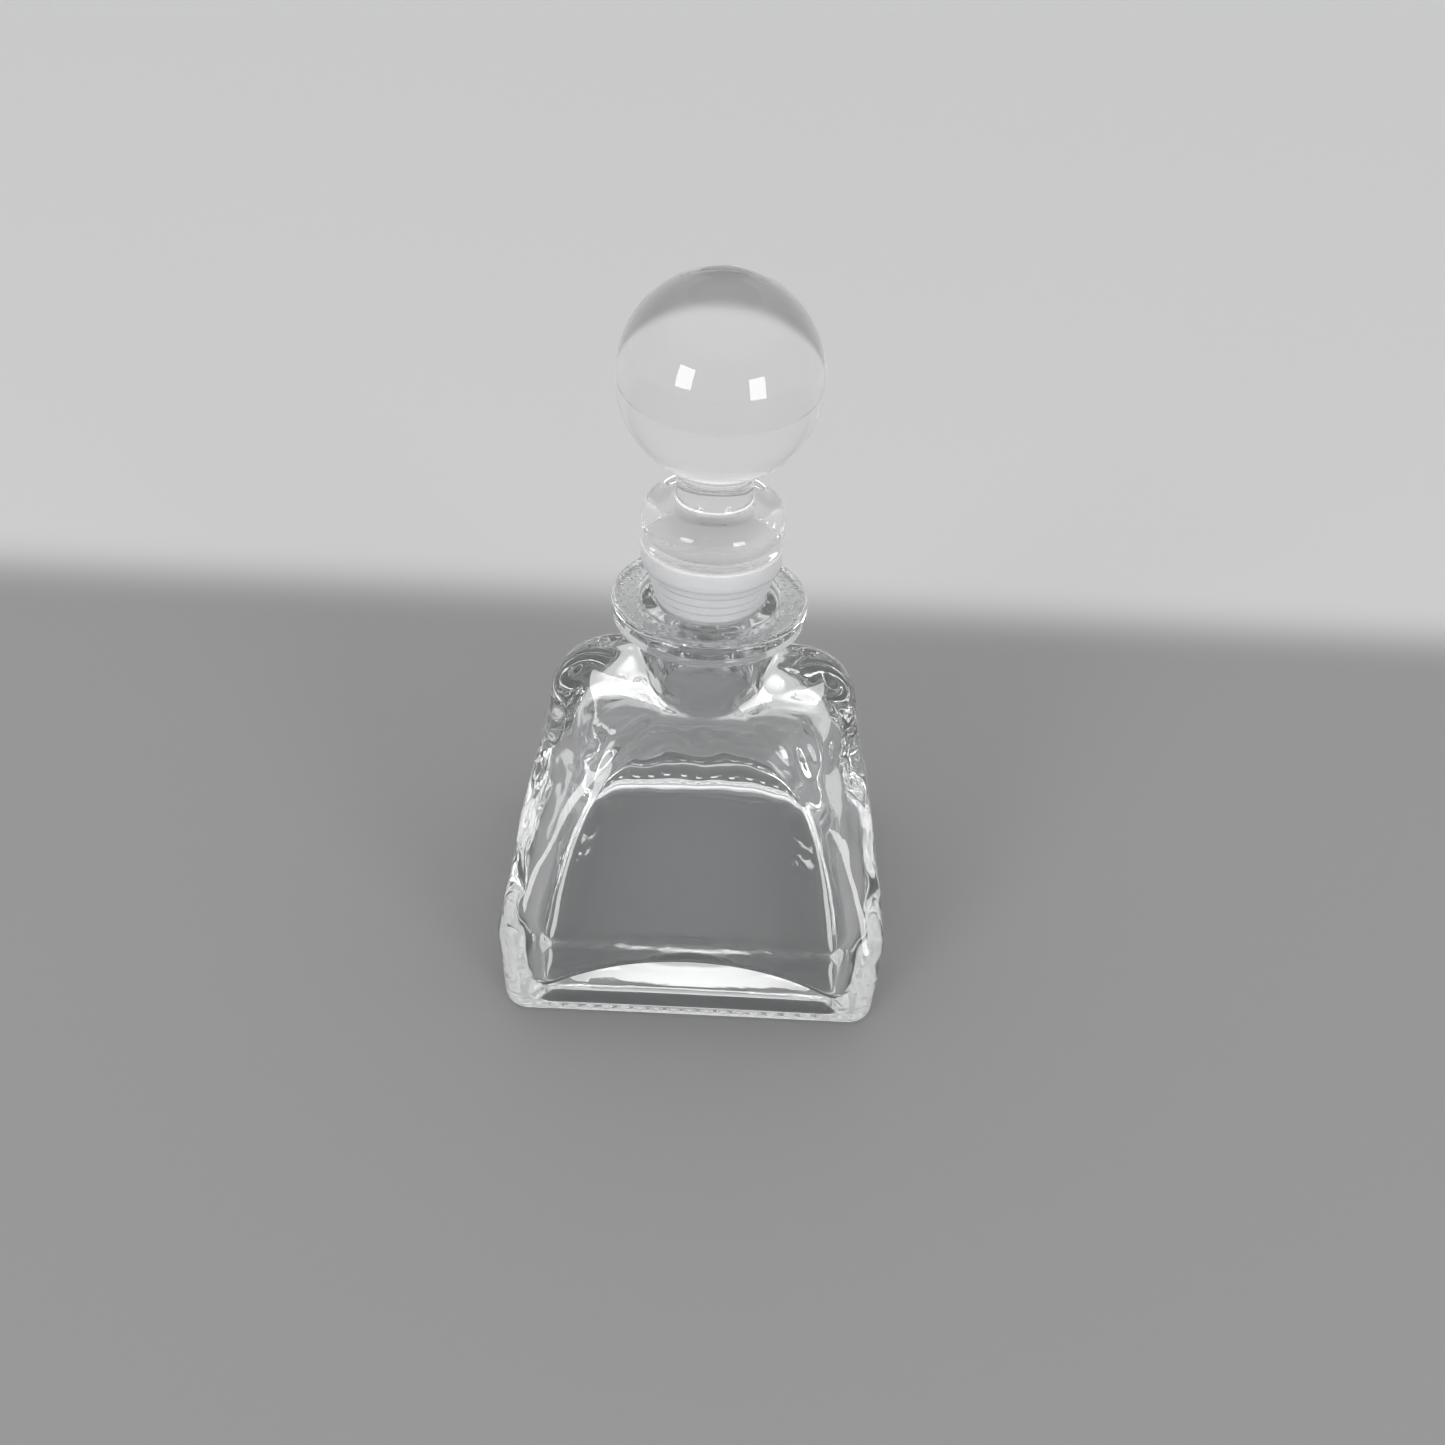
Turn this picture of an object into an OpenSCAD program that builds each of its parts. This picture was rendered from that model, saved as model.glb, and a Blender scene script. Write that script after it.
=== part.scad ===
// Aftershave bottle: heavy clear glass body, glass ball stopper and a ribbed plastic sealing sleeve.
// Millimetres, +Z up, front face towards -Y, origin at the centre of the base on the resting plane.

/* [Body] */
// Width of the base from side to side
base_w = 72; // [60:1:90]
// Depth of the base from front to back
base_d = 66; // [56:1:80]
// Height of the upright lower wall before the faces start to lean in
wall_h = 19; // [12:1:24]
// Height of the shoulder ridge beside the neck
shoulder_z = 64.7; // [60:0.1:80]
// Width across the body where the shoulders start to round over
shoulder_w = 56.8; // [50:0.1:68]
// Sideways size of the shoulder rounding
shoulder_r = 9.8; // [6:0.1:14]
// Outward bow of the leaning side walls
side_bow = 0.6; // [0:0.1:2]
// How far the corner rounding reaches along each base edge
corner = 5.1; // [3:0.1:8]
// Thickness of the front and back walls
wall = 3.4; // [2.5:0.1:4.5]
// Thickness of the side walls
side_wall = 4.2; // [3:0.1:6]
// Height of the crown of the arched cavity floor
floor_z = 14; // [9:0.5:16]
// Radius of the arched cavity floor
floor_r = 45; // [40:1:70]

/* [Neck and lip] */
// Outside diameter of the flat lip
lip_d = 34; // [31:0.5:38]
// Thickness of the flat lip
lip_t = 4; // [3:0.1:5]
// Length of neck between the shoulder ridge and the underside of the lip
neck_gap = 7.8; // [6:0.1:12]
// Outside diameter of the neck
neck_d = 23.6; // [22.4:0.1:26]
// Diameter of the straight bore below the seat
bore_d = 16; // [15.6:0.1:16.6]
// Diameter of the shallow ring step on top of the lip
ring_d = 24.7; // [22:0.1:27]

/* [Stopper] */
// Diameter of the glass ball
ball_d = 31.8; // [24:0.1:38]
// Diameter of the short stem under the ball
stem_d = 12.5; // [10:0.1:15]
// Diameter of the round collar
collar_d = 24; // [22.4:0.1:27]
// Height of the collar
collar_t = 7.4; // [6:0.1:10]
// Length of stem between the collar and the ball
stem_gap = 5.4; // [4:0.1:9]
// Diameter of the shank inside the sleeve
shank_d = 13.4; // [12:0.1:13.6]

/* [Sleeve] */
// Height of the sleeve above the lip when seated
sleeve_up = 10.6; // [9.6:0.1:14]
// Length of the sleeve tip that goes down into the neck
sleeve_in = 4.2; // [3:0.1:4.4]
// Number of sealing ribs on the tapered part
ribs = 6; // [4:1:7]
// Radial clearance of the seated and turning fits
fit = 0.05; // [0.02:0.01:0.09]

/* [Hidden] */
$fn = 96;
glass = [0.80, 0.88, 0.90, 0.35];
frosted = [0.93, 0.93, 0.92, 1];

// Heights that follow from the sizes above
lip_z = shoulder_z + neck_gap + lip_t;
lip_under = lip_z - lip_t;
turn_z = shoulder_z - 12.7;
panel_top = shoulder_z - 9.7;
collar_z = lip_z + sleeve_up + 2 * fit;
stem_z = collar_z + collar_t;
ball_r = ball_d / 2;
stem_r = stem_d / 2;
ball_z = stem_z + stem_gap + sqrt(ball_r * ball_r - stem_r * stem_r);

// Taper shared by the sleeve and its seat, as radius gained per millimetre of height
taper = 0.3;
seat_r = bore_d / 2 + 1.45;
seat_depth = (seat_r - bore_d / 2) / taper;

// The panel leans in from the base depth to this half depth beside the neck
panel_half_top = neck_d / 2 + 1.2;
lean = (base_d / 2 - panel_half_top) / (panel_top - wall_h);
ridge_start = shoulder_z - 5;
ridge_half = 4.9;

function part_of(z, low, high) = max(0, min(1, (z - low) / (high - low)));

// Half width of the outer section at height z
function half_w(z) =
    let (t = part_of(z, wall_h, turn_z))
    let (k = part_of(z, turn_z, shoulder_z))
    z <= turn_z
        ? base_w / 2 + (shoulder_w - base_w) / 2 * t + side_bow * 4 * t * (1 - t)
        : shoulder_w / 2 - shoulder_r * (1 - sqrt(max(0, 1 - k * k)));

// Half depth of the leaning front and back faces at height z
function lean_d(z) = base_d / 2 - lean * max(0, z - wall_h);

// Half depth of the outer section, with the ridge rounded over at the top
function half_d(z) =
    let (k = part_of(z, ridge_start, shoulder_z))
    z <= ridge_start
        ? lean_d(z)
        : ridge_half + (lean_d(ridge_start) - ridge_half) * sqrt(max(0, 1 - k * k));

// Half width of the flat bell-shaped panel at height z
function panel_w(z) =
    let (t = part_of(z, wall_h, shoulder_z))
    max(0.5, (base_w / 2 - corner) * (1 - pow(t, 1.87)));

// Half length of the flat on the side walls at height z
function side_flat(z) =
    let (t = part_of(z, wall_h, turn_z + 5))
    max(0.2, (base_d / 2 - corner) * (1 - t));

// Point at t along the corner curve that runs from the panel edge to the side flat
function curve_point(a, b, c, d, t) =
    a * pow(1 - t, 3) + 3 * b * t * pow(1 - t, 2) + 3 * c * t * t * (1 - t) + d * pow(t, 3);

// One quarter of a section, from the panel edge [w, d] to the side flat [hw, s]
function quarter(w, d, hw, s, drop, n) =
    [for (i = [0:n])
        curve_point(
            [w, d],
            [w + 0.55 * (hw - w), d - 0.55 * (hw - w) * drop],
            [hw, s + 0.55 * (d - s)],
            [hw, s],
            i / n)];

// Whole section as a ring of points, counter-clockwise seen from above
function ring(q) =
    let (n = len(q) - 1)
    concat(
        [for (i = [n:-1:0]) q[i]],
        [for (i = [0:n]) [-q[i][0], q[i][1]]],
        [for (i = [n:-1:0]) [-q[i][0], -q[i][1]]],
        [for (i = [0:n]) [q[i][0], -q[i][1]]]);

corner_steps = 8;
function crease(z) = 0.36 * part_of(z, wall_h - 4, wall_h + 11);
function outer_ring(z) =
    let (w = min(panel_w(z), half_w(z) - 1))
    let (s = min(side_flat(z), half_d(z) - 1.5))
    ring(quarter(w, half_d(z), half_w(z), s, crease(z), corner_steps));

// The cavity follows the outside, held back by the wall thicknesses and rounder at its corners
cavity_top = shoulder_z - 8.7;
function inner_z(z) = z + (shoulder_z - cavity_top) * part_of(z, wall_h, cavity_top);
function inner_w(z) = half_w(inner_z(z)) - side_wall;
function inner_d(z) = max(bore_d / 2 + 0.5, lean_d(z) - wall * sqrt(1 + lean * lean));
function inner_ring(z) =
    let (w = max(0.5, min(panel_w(inner_z(z)) - 5, inner_w(z) - 2)))
    let (s = max(0.2, min(side_flat(z) - 6, inner_d(z) - 3)))
    ring(quarter(w, inner_d(z), inner_w(z), s, 0.5 * crease(z), corner_steps));

// Closed solid through a stack of rings with equal point counts
module loft(rings, heights) {
    n = len(rings[0]);
    m = len(heights);
    points = [for (j = [0:m - 1]) for (p = rings[j]) [p[0], p[1], heights[j]]];
    sides = [
        for (j = [0:m - 2]) for (i = [0:n - 1])
            let (a = j * n + i)
            let (b = j * n + (i + 1) % n)
            each [[a, a + n, b + n], [a, b + n, b]]
    ];
    bottom = [[for (i = [0:n - 1]) i]];
    top = [[for (i = [n - 1:-1:0]) (m - 1) * n + i]];
    polyhedron(points = points, faces = concat(bottom, sides, top), convexity = 4);
}

// A small chamfer under the upright wall, and a slight crown from the ridge in to the neck
heel = 0.6;
crown = 0.3;

// Section heights: few in the upright wall, even in the leaning part, close together over the shoulder
lean_steps = 9;
round_steps = 7;
outer_z = concat(
    [heel, wall_h - 4],
    [for (i = [0:lean_steps - 1]) wall_h + (turn_z - wall_h) * i / lean_steps],
    [for (i = [0:round_steps]) turn_z + (shoulder_z - turn_z) * sin(90 * i / round_steps)]);
inner_heights = concat(
    [3.2, wall_h - 4],
    [for (i = [0:lean_steps - 1]) wall_h + (cavity_top - 10 - wall_h) * i / lean_steps],
    [for (i = [0:round_steps]) cavity_top - 10 + 10 * sin(90 * i / round_steps)]);

function heel_ring() = [for (p = outer_ring(heel)) p * (1 - 2 * heel / base_w)];
function crown_ring() = [for (p = outer_ring(shoulder_z)) p * 0.4];

module body_outside() {
    loft(
        concat([heel_ring()], [for (z = outer_z) outer_ring(z)], [crown_ring()]),
        concat([0], outer_z, [shoulder_z + crown]));
}

// Level at which the neck solid stands on the body solid; the real bottle is one piece of glass here
seam_z = cavity_top + 2;

// Neck and the flat lip, above the seam
module neck_outside() {
    edge = 0.9;
    difference() {
        union() {
            translate([0, 0, seam_z])
                cylinder(d = neck_d, h = lip_under - seam_z + 1);
            rotate_extrude()
                union() {
                    translate([0, lip_under])
                        square([lip_d / 2 - edge, lip_t]);
                    translate([0, lip_under + edge])
                        square([lip_d / 2, lip_t - 2 * edge]);
                    translate([lip_d / 2 - edge, lip_under + edge])
                        circle(r = edge);
                    translate([lip_d / 2 - edge, lip_z - edge])
                        circle(r = edge);
                }
        }
        translate([0, 0, lip_z - 0.25])
            cylinder(d = ring_d, h = 1);
    }
}

// The hollow: body cavity over the arched floor
module cavity() {
    difference() {
        loft([for (z = inner_heights) inner_ring(z)], inner_heights);
        translate([0, base_d, floor_z - floor_r])
            rotate([90, 0, 0])
                cylinder(r = floor_r, h = 2 * base_d, $fn = 160);
    }
}

// Straight bore, tapered seat and the small lead-in at the mouth
module bore() {
    bore_r = bore_d / 2;
    translate([0, 0, cavity_top - 8])
        cylinder(r = bore_r, h = lip_z - cavity_top + 7);
    translate([0, 0, lip_z - 0.25 - seat_depth])
        cylinder(r1 = bore_r, r2 = seat_r, h = seat_depth);
    translate([0, 0, lip_z - 0.25 - 0.3])
        cylinder(r1 = seat_r - 0.09, r2 = seat_r + 0.6, h = 0.6);
}

// Shallow hollow under the base that leaves a bearing band round the edge
module push_up() {
    rise = 1.4;
    half = min(base_w, base_d) / 2 - 8;
    dome_r = (half * half + rise * rise) / (2 * rise);
    translate([0, 0, rise - dome_r])
        sphere(r = dome_r, $fn = 200);
}

module bottle() {
    color(glass)
    difference() {
        union() {
            body_outside();
            translate([0, 0, panel_top - 6])
                cylinder(d = neck_d, h = seam_z - panel_top + 6);
        }
        translate([0, 0, seam_z])
            cylinder(d = neck_d, h = lip_z);
        cavity();
        bore();
        push_up();
    }
}

module neck() {
    color(glass)
    difference() {
        neck_outside();
        bore();
    }
}

// Radius of the sleeve's tapered envelope at height z
function sleeve_r(z) = seat_r - fit - taper * (lip_z - 0.25 - z);

sleeve_head = 3.7;
tip_floor = 1;
shank_r = shank_d / 2;
bead = 0.35;
bead_z = lip_z + 0.4;

// Stack of saw-tooth sealing ribs under a plain head, over a closed tip
module sleeve() {
    tip_z = lip_z - sleeve_in;
    top_z = lip_z + sleeve_up;
    rib_top = top_z - sleeve_head;
    pitch = (rib_top - tip_z) / ribs;
    notch = 0.45;
    bore_r = shank_r + fit;
    steps = [
        for (i = [0:ribs - 1])
            let (low = tip_z + i * pitch)
            let (high = low + pitch)
            each [
                [sleeve_r(low) - notch, low],
                [sleeve_r(low + 0.35 * pitch), low + 0.35 * pitch],
                [sleeve_r(low + 0.35 * pitch), high - 0.1 * pitch],
                [sleeve_r(high) - notch, high]
            ]
    ];
    head_r = min(collar_d / 2 - 0.05, sleeve_r(rib_top) + 0.9);
    head = [
        [head_r - 0.4, rib_top],
        [head_r, rib_top + 0.5],
        [collar_d / 2, top_z - 1.2],
        [collar_d / 2 - 0.15, top_z],
        [bore_r, top_z]
    ];
    groove = [
        [bore_r, bead_z + 2.2 * bead],
        [bore_r + bead, bead_z + bead],
        [bore_r + bead, bead_z - bead],
        [bore_r, bead_z - 2.2 * bead],
        [bore_r, tip_z + tip_floor],
        [0, tip_z + tip_floor],
        [0, tip_z]
    ];
    color(frosted)
    rotate_extrude()
        polygon(concat(steps, head, groove));
}

// One piece of glass: ball, stem, collar and the shank with its retaining bead
module stopper() {
    collar_r = collar_d / 2;
    round_r = 3;
    low_r = 0.5;
    shank_end = lip_z - sleeve_in + tip_floor + fit;
    fillet = 1;
    color(glass)
    union() {
        translate([0, 0, ball_z])
            sphere(r = ball_r, $fn = 160);
        rotate_extrude()
            union() {
                translate([0, stem_z - 0.5])
                    square([stem_r, stem_gap + 1]);
                difference() {
                    translate([0, stem_z - 0.2])
                        square([stem_r + fillet, fillet + 0.2]);
                    translate([stem_r + fillet, stem_z + fillet])
                        circle(r = fillet);
                }
                translate([0, collar_z])
                    square([collar_r - round_r, collar_t]);
                translate([0, collar_z + low_r])
                    square([collar_r, collar_t - low_r - round_r]);
                translate([0, collar_z])
                    square([collar_r - low_r, 1]);
                translate([collar_r - low_r, collar_z + low_r])
                    circle(r = low_r);
                translate([collar_r - round_r, collar_z + collar_t - round_r])
                    circle(r = round_r);
                polygon([
                    [0, collar_z + 0.5],
                    [shank_r, collar_z + 0.5],
                    [shank_r, bead_z + 2 * bead],
                    [shank_r + bead, bead_z + 0.8 * bead],
                    [shank_r + bead, bead_z - 0.8 * bead],
                    [shank_r, bead_z - 2 * bead],
                    [shank_r, shank_end + 0.8],
                    [shank_r - 0.8, shank_end],
                    [0, shank_end]
                ]);
            }
    }
}

bottle();
neck();
sleeve();
stopper();
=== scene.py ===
import math

import bpy
import numpy as np
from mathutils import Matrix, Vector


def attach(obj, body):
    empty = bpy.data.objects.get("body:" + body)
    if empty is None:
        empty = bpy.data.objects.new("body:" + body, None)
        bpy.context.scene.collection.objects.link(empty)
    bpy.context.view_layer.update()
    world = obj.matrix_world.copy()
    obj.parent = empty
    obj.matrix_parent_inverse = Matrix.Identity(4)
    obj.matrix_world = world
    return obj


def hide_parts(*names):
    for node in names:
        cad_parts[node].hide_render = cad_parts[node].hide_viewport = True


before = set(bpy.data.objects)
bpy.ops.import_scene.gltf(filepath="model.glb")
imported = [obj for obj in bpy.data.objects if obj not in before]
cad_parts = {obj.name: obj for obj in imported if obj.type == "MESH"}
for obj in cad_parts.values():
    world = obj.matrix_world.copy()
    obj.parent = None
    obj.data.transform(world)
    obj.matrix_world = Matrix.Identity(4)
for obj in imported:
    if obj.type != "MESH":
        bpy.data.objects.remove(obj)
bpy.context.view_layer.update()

# ---------------------------------------------------------------------------------------------
# Bottle: one piece of clear soda-lime glass, blown in a two-part mould and fire-polished, with a
# thick arched base, flat leaning front and back faces and a wide flat lip. It stands by itself.
# ---------------------------------------------------------------------------------------------
MM = 0.001  # every size below is in millimetres
BASE_HALF_W, BASE_HALF_D = 36.0, 33.0
WALL_TOP, TURN, RIDGE = 19.0, 52.0, 64.7
SHOULDER_HALF, SHOULDER_ROUND = 28.4, 9.8
RIDGE_ROUND, RIDGE_HALF_D = 5, 4.9
LEAN, SIDE_BOW, CORNER = 0.5556, 0.6, 5.1
BELL_POWER, CREASE, CORNER_PULL = 1.87, 0.36, 0.55
NECK_R, BORE_R, SEAT_R, SEAT_Z = 11.8, 8.0, 9.45, 76.25
LIP_TOP, LIP_R, LIP_UNDER, LIP_ROUND, RING_R = 76.5, 17.0, 72.5, 0.9, 12.35
# inside
FRONT_WALL, SIDE_WALL, CAVITY_TOP = 3.4, 4.2, 56.0
INNER_INSET, INNER_GAIN = 5.5, 3.0
FLOOR_TOP, FLOOR_RADIUS, FLOOR_EDGE = 14.2, 45.0, 4.2
FLOOR_DIP, DIP_HALF_W, DIP_INNER_D, DIP_OUTER_D = 0.4, 19, 9, 28
# underside: a shallow recess inside the band that the bottle stands on
HEEL_R, BAND_LIFT = 1.3, 0.35
RECESS, RECESS_CROWN, RING_INSIDE, RECESS_EDGE = 2.3, 0.25, 0.89, 0.80


def part_of(z, low, high):
    """How far z is from low to high, from 0 to 1."""
    return np.clip((z - low) / (high - low), 0.0, 1.0)


def outside_half_width(z):
    t = part_of(z, WALL_TOP, TURN)
    k = part_of(z, TURN, RIDGE)
    wall = BASE_HALF_W + (SHOULDER_HALF - BASE_HALF_W) * t + SIDE_BOW * 4 * t * (1 - t)
    return np.where(z <= TURN, wall, SHOULDER_HALF - SHOULDER_ROUND * (1 - np.sqrt(1 - k * k)))


def leaning_half_depth(z):
    return BASE_HALF_D - LEAN * np.maximum(0.0, z - WALL_TOP)


def outside_half_depth(z):
    k = part_of(z, RIDGE - RIDGE_ROUND, RIDGE)
    start = BASE_HALF_D - LEAN * (RIDGE - RIDGE_ROUND - WALL_TOP)
    rounded = RIDGE_HALF_D + (start - RIDGE_HALF_D) * np.sqrt(1 - k * k)
    return np.where(z <= RIDGE - RIDGE_ROUND, leaning_half_depth(z), rounded)


def panel_half_width(z):
    """Half the width of the flat front face, which narrows upwards like a bell."""
    t = part_of(z, WALL_TOP, RIDGE)
    return np.maximum(0.5, (BASE_HALF_W - CORNER) * (1 - t ** BELL_POWER))


def side_flat(z):
    t = part_of(z, WALL_TOP, TURN + 5)
    return np.maximum(0.2, (BASE_HALF_D - CORNER) * (1 - t))


def crease(z):
    """How sharply the front face breaks into the corner, which starts low on the wall."""
    return CREASE * part_of(z, WALL_TOP - 4, WALL_TOP + 11)


# Columns of the glass wall run counter-clockwise from the middle of the front. Each one knows
# whether it lies on a flat face, on a corner or on a side, and how far along.
FLAT, ROUND, SIDE = 0, 1, 2
FRONT_COLUMNS, CORNER_COLUMNS, SIDE_COLUMNS = 48, 31, 27
across = (np.arange(FRONT_COLUMNS) + 0.5) / FRONT_COLUMNS
round_corner = (np.arange(CORNER_COLUMNS) + 0.5) / CORNER_COLUMNS
along = 1 - (np.arange(SIDE_COLUMNS) + 0.5) / SIDE_COLUMNS
column_kind, column_t, column_x, column_y = [], [], [], []
for sign_x, sign_y in ((1, -1), (1, 1), (-1, 1), (-1, -1)):
    quarter = ([(FLAT, t) for t in across] + [(ROUND, t) for t in round_corner]
               + [(SIDE, t) for t in along])
    for kind, t in quarter if sign_x * sign_y < 0 else quarter[::-1]:
        column_kind.append(kind)
        column_t.append(t)
        column_x.append(sign_x)
        column_y.append(sign_y)
column_kind, column_t = np.array(column_kind), np.array(column_t)
column_x, column_y = np.array(column_x), np.array(column_y)
COLUMNS = len(column_kind)
even_angle = -math.pi / 2 + 2 * math.pi * (np.arange(COLUMNS) + 0.5) / COLUMNS


def section(z, w, d, hw, s, drop):
    """Points of every column on the level outline at height z, one row for each height.

    The flat face ends at half-width w and half-depth d, and the side face at hw and s.
    """
    t = column_t[None, :]
    w, d, hw, s, drop = (np.asarray(v, float)[:, None] for v in (w, d, hw, s, drop))
    bx = (w * (1 - t) ** 3 + 3 * (w + CORNER_PULL * (hw - w)) * t * (1 - t) ** 2
          + 3 * hw * t * t * (1 - t) + hw * t ** 3)
    by = (d * (1 - t) ** 3 + 3 * (d - CORNER_PULL * (hw - w) * drop) * t * (1 - t) ** 2
          + 3 * (s + CORNER_PULL * (d - s)) * t * t * (1 - t) + s * t ** 3)
    kind = column_kind[None, :]
    x = np.where(kind == FLAT, w * t, np.where(kind == ROUND, bx, hw))
    y = np.where(kind == FLAT, d, np.where(kind == ROUND, by, s * t))
    level = np.broadcast_to(np.asarray(z, float)[:, None], x.shape)
    return np.stack([x * column_x, y * column_y, level], 2)


def outside(z):
    w = np.minimum(panel_half_width(z), outside_half_width(z) - 1)
    s = np.minimum(side_flat(z), outside_half_depth(z) - 1.5)
    return section(z, w, outside_half_depth(z), outside_half_width(z), s, crease(z))


def inside(z):
    matched = z + (RIDGE - CAVITY_TOP) * part_of(z, WALL_TOP, CAVITY_TOP)
    hw = outside_half_width(matched) - SIDE_WALL
    d = np.maximum(BORE_R + 0.5, leaning_half_depth(z) - FRONT_WALL * math.sqrt(1 + LEAN * LEAN))
    flat = panel_half_width(z) - INNER_INSET + INNER_GAIN * part_of(z, WALL_TOP, TURN)
    w = np.maximum(0.5, np.minimum(flat, hw - 2))
    s = np.maximum(0.2, np.minimum(side_flat(z) - 6, d - 3))
    return section(z, w, d, hw, s, 0.5 * crease(z))


def ring_at(radius, z, angle):
    radius, z = np.asarray(radius, float)[:, None], np.asarray(z, float)[:, None]
    a = angle[None, :]
    return np.stack([radius * np.cos(a), radius * np.sin(a), z + 0 * a], 2)


def spaced(path, count):
    """Each column's path, resampled to points at even distances."""
    out = np.empty((count, path.shape[1], 3))
    for i in range(path.shape[1]):
        line = path[:, i]
        run = np.concatenate([[0], np.cumsum(np.linalg.norm(np.diff(line, axis=0), axis=1))])
        at = np.linspace(0, run[-1], count)
        for axis in range(3):
            out[:, i, axis] = np.interp(at, run, line[:, axis])
    return out


def waves(points, length, seed, stretch=(1, 1, 1)):
    """Smooth random swells about one high, with the given wave length in millimetres."""
    count = 22
    rng = np.random.default_rng(seed)
    total = np.zeros(points.shape[:-1])
    for _ in range(count):
        way = rng.normal(size=3) * np.array(stretch)
        way *= 2 * math.pi / length / np.linalg.norm(way) * rng.uniform(0.6, 1.5)
        total += np.sin(points @ way + rng.uniform(0, 6.28))
    return total * math.sqrt(2 / count)


# Underside: the recess, its sloping edge, then the bearing band and the rounded heel
edge_ring = outside(np.array([HEEL_R]))[0]
inset = 1 - HEEL_R / np.linalg.norm(edge_ring[:, :2], axis=1)
flat_ring = edge_ring * np.stack([inset, inset, 0 * inset], 1)


def underside(first, last, count):
    """Rows from share first to share last of the way out from the middle to the heel."""
    t = np.linspace(first, last, count)
    p = flat_ring[None] * t[:, None, None]
    slope = part_of(t, RING_INSIDE, RECESS_EDGE)
    crown = RECESS_CROWN * (1 - np.minimum(t / RECESS_EDGE, 1) ** 2)
    p[..., 2] = (BAND_LIFT + RECESS * slope + crown)[:, None]
    return p


turn = np.linspace(0, math.pi / 2, 12)[:, None, None]
middle = flat_ring[None] + np.array([0, 0, HEEL_R])
outward = (edge_ring - flat_ring)[None] * np.array([1, 1, 0])
heel = middle + outward * np.sin(turn) - np.array([0, 0, HEEL_R - BAND_LIFT]) * np.cos(turn)

# Outer wall up to the neck: each column is followed over the shoulder until it meets the neck
OUTER_STEPS = 400
wall_z = np.concatenate([
    np.linspace(HEEL_R, TURN, 160)[1:],
    TURN + (RIDGE - TURN) * np.sin(np.linspace(0, math.pi / 2, 120))[1:]])
outer_wall = outside(wall_z)
closing = np.linspace(1, 0.02, 160)[1:, None]
inward = closing[..., None] * outer_wall[-1][None]
inward[..., 2] = RIDGE + 0.3 * (1 - closing)
climb = np.concatenate([outer_wall, inward])
radius = np.linalg.norm(climb[..., :2], axis=2)
met = np.argmax((radius < NECK_R) & (climb[..., 2] > 45), axis=0)
foot = np.empty((COLUMNS, 3))
cut = np.empty((OUTER_STEPS, COLUMNS, 3))
for i in range(COLUMNS):
    k = met[i]
    f = (radius[k - 1, i] - NECK_R) / (radius[k - 1, i] - radius[k, i])
    foot[i] = climb[k - 1, i] + f * (climb[k, i] - climb[k - 1, i])
    line = np.concatenate([climb[:k, i], foot[i][None]])
    cut[:, i] = spaced(line[:, None], OUTER_STEPS)[:, 0]
foot_angle = np.unwrap(np.arctan2(foot[:, 1], foot[:, 0]))
foot_angle += 2 * math.pi * np.round((even_angle - foot_angle).mean() / (2 * math.pi))
for _ in range(12):
    lead = np.roll(foot_angle, -1)
    lead[-1] += 2 * math.pi
    lag = np.roll(foot_angle, 1)
    lag[0] -= 2 * math.pi
    foot_angle = 0.5 * foot_angle + 0.25 * (lead + lag)

# Neck, whose columns even out as they rise, then the lip, the seat and the bore
rise = np.linspace(0, 1, 40)[1:]
ease = rise * rise * (3 - 2 * rise)
neck_top = LIP_UNDER - 1.0
neck_angle = foot_angle[None] + (even_angle - foot_angle)[None] * ease[:, None]
neck_z = foot[:, 2][None] + (neck_top - foot[:, 2])[None] * rise[:, None]
neck_path = np.stack([NECK_R * np.cos(neck_angle), NECK_R * np.sin(neck_angle), neck_z], 2)

q = np.linspace(0, math.pi / 2, 9)[1:]
rim = LIP_R - LIP_ROUND
bore_start = SEAT_Z - 5.6
lip_profile = np.array(
    [(NECK_R + 1 - np.cos(a), neck_top + np.sin(a)) for a in q]
    + [(r, LIP_UNDER) for r in np.linspace(NECK_R + 1, rim, 8)[1:]]
    + [(rim + LIP_ROUND * np.sin(a), LIP_UNDER + LIP_ROUND - LIP_ROUND * np.cos(a)) for a in q]
    + [(LIP_R, z) for z in np.linspace(LIP_UNDER + LIP_ROUND, LIP_TOP - LIP_ROUND, 5)[1:]]
    + [(rim + LIP_ROUND * np.cos(a), LIP_TOP - LIP_ROUND + LIP_ROUND * np.sin(a)) for a in q]
    + [(r, LIP_TOP) for r in np.linspace(rim, RING_R + 0.22, 9)[1:]]
    + [(RING_R + 0.02, LIP_TOP - 0.06), (RING_R - 0.1, LIP_TOP - 0.2), (RING_R - 0.3, SEAT_Z)]
    + [(r, SEAT_Z) for r in np.linspace(RING_R - 0.3, SEAT_R + 0.6, 5)[1:]]
    + [(SEAT_R + 0.28, SEAT_Z - 0.09), (SEAT_R + 0.08, SEAT_Z - 0.32),
       (SEAT_R - 0.12, SEAT_Z - 0.75)]
    + [(SEAT_R - 0.3 * h, SEAT_Z - h) for h in np.linspace(0.75, 4.4, 7)[1:]]
    + [(BORE_R + 0.03, SEAT_Z - 4.95), (BORE_R, bore_start)])
lip_path = ring_at(lip_profile[:, 0], lip_profile[:, 1], even_angle)
bore_z = np.linspace(bore_start, CAVITY_TOP, 40)[1:]
bore_path = ring_at(BORE_R + 0 * bore_z, bore_z, even_angle)

# Cavity: ceiling, walls and the arched floor
INNER_STEPS = 330
ceiling_ring = inside(np.array([CAVITY_TOP]))[0]
out = np.linspace(0, 1, 20)[1:, None, None]
ceiling = bore_path[-1][None] * (1 - out) + ceiling_ring[None] * out
ceiling[..., 2] = CAVITY_TOP
drop_path = inside(np.linspace(CAVITY_TOP, 0.2, INNER_STEPS))


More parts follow.
